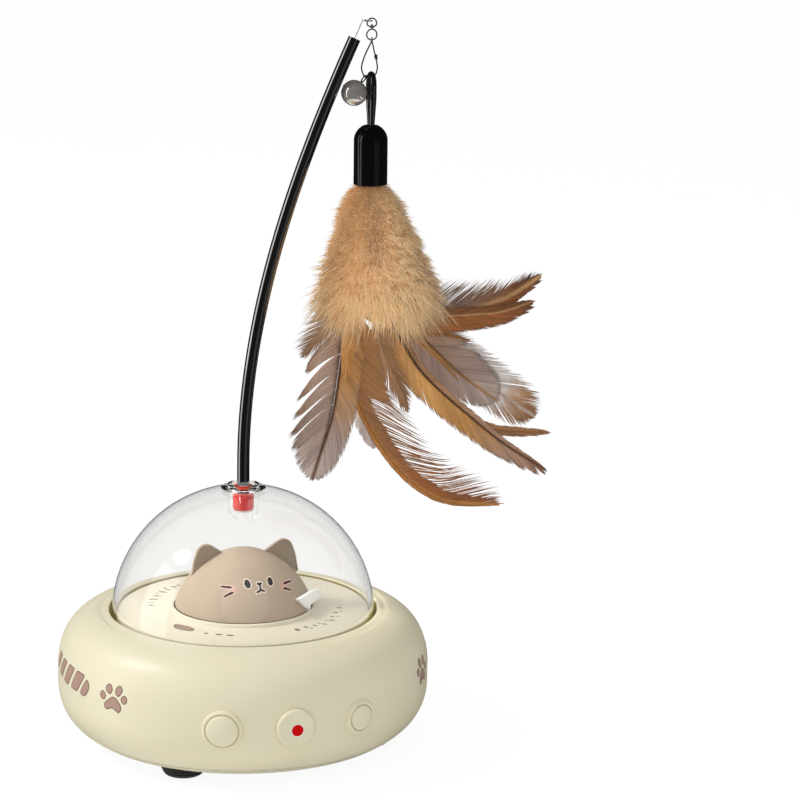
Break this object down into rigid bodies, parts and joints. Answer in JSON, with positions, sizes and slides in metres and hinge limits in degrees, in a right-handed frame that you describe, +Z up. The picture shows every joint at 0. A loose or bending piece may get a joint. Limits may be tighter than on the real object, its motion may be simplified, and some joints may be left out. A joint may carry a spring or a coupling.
{
  "type": "interactive cat toy",
  "caption": "Round cream base with a clear turning dome over a cat head, and a bent wand that carries a snap clip, a bell and a feather lure.",
  "frame": {"origin": "centre of the flat underside of the bottom cover, on the turntable's axis", "axes": "+Z up along the turntable's axis, -Y through the middle button at the front, +X towards the wand's tip"},
  "size_m": [0.2001, 0.1504, 0.291],
  "materials": {
    "cream_plastic": "satin moulded cream plastic",
    "taupe_plastic": "fine matt moulded taupe plastic",
    "white_plastic": "satin white plastic",
    "black_plastic": "matt black plastic",
    "nylon": "natural nylon",
    "clear_plastic": "clear polished polycarbonate",
    "gloss_black": "glossy black plastic",
    "black_rubber": "smooth black rubber",
    "red_silicone": "satin red silicone",
    "steel": "bright drawn wire and plated steel",
    "bell_chrome": "polished nickel plate",
    "circuit_board": "green solder mask",
    "cell_wrap": "shrink-wrap film",
    "fluff": "soft downy plume",
    "feather": "natural vane feather with fine barbs"
  },
  "bodies": {
    "base": {"base_shell": "cream_plastic", "bottom_cover": "cream_plastic", "foot_front_left": "black_rubber", "foot_front_right": "black_rubber", "foot_rear_left": "black_rubber", "foot_rear_right": "black_rubber", "cover_screw_1": "steel", "cover_screw_2": "steel", "cover_screw_3": "steel", "cover_screw_4": "steel", "battery_cell": "cell_wrap", "main_board": "circuit_board", "usb_socket": "steel", "bezel_left": "cream_plastic", "bezel_right": "cream_plastic", "tact_switch_left": "black_plastic", "tact_switch_middle": "black_plastic", "tact_switch_right": "black_plastic", "switch_board_left": "circuit_board", "switch_board_middle": "circuit_board", "switch_board_right": "circuit_board", "gearbox": "nylon", "motor_can": "steel", "glide_ring": "nylon", "retaining_washer": "steel", "spindle_screw": "steel"},
    "left_button": {"button_left": "cream_plastic"},
    "middle_button": {"button_middle": "cream_plastic"},
    "right_button": {"button_right": "cream_plastic"},
    "pinion": {"drive_pinion": "nylon", "output_shaft": "steel"},
    "turntable": {"turntable_disc": "cream_plastic", "drive_gear": "nylon", "cover_plate": "cream_plastic", "cat_head": "taupe_plastic", "ear_left": "taupe_plastic", "ear_right": "taupe_plastic", "locating_tab": "white_plastic", "dome": "clear_plastic", "wand_socket": "clear_plastic"},
    "wand": {"wand_plug": "red_silicone", "wand_sleeve": "gloss_black", "core_wire": "steel"},
    "swivel": {"swivel_eye": "steel"},
    "snap": {"swivel_ring": "steel", "snap_clip": "steel"},
    "bell": {"bell_shell": "bell_chrome", "bell_pellet": "steel"},
    "lure": {"lure_loop": "black_rubber", "lure_cap": "gloss_black", "plume_fluff": "fluff", "feather_centre": "feather", "feather_left": "feather", "feather_lowest": "feather", "feather_long": "feather", "feather_right": "feather", "feather_broad": "feather", "feather_pale": "feather", "feather_small": "feather"}
  },
  "joints": [
    {"name": "turntable_spin", "type": "hinge", "parent": "base", "child": "turntable", "pos_m": [0, 0, 0.0413], "axis": [0, 0, 1], "continuous": true},
    {"name": "pinion_spin", "type": "hinge", "parent": "base", "child": "pinion", "pos_m": [0, 0.028, 0.037], "axis": [0, 0, 1], "continuous": true},
    {"name": "wand_pull", "type": "slide", "parent": "turntable", "child": "wand", "axis": [0, 0, 1], "range_m": [0, 0.015]},
    {"name": "swivel_swing", "type": "hinge", "parent": "wand", "child": "swivel", "pos_m": [0.0524, 0, 0.2843], "axis": [0, -1, 0], "range_deg": [0, 45]},
    {"name": "snap_spin", "type": "hinge", "parent": "swivel", "child": "snap", "pos_m": [0.0524, 0, 0.2818], "axis": [0, 0, 1], "range_deg": [-60, 110]},
    {"name": "lure_swing", "type": "hinge", "parent": "snap", "child": "lure", "pos_m": [0.0524, 0, 0.2616], "axis": [1, 0, 0], "range_deg": [-30, 30]},
    {"name": "bell_swing", "type": "hinge", "parent": "snap", "child": "bell", "pos_m": [0.04974, 0, 0.26215], "axis": [1, 0, 0], "range_deg": [-35, 35]},
    {"name": "left_button_press", "type": "slide", "parent": "base", "child": "left_button", "axis": [0.3698, 0.9291, 0], "range_m": [0, 0.0005], "stiffness_N_per_m": 800, "springref_m": -0.0003},
    {"name": "middle_button_press", "type": "slide", "parent": "base", "child": "middle_button", "axis": [0, 1, 0], "range_m": [0, 0.0005], "stiffness_N_per_m": 800, "springref_m": -0.0003},
    {"name": "right_button_press", "type": "slide", "parent": "base", "child": "right_button", "axis": [-0.3698, 0.9291, 0], "range_m": [0, 0.0005], "stiffness_N_per_m": 800, "springref_m": -0.0003}
  ],
  "couplings": [
    {"joint": "pinion_spin", "follows": "turntable_spin", "ratio": -4}
  ]
}
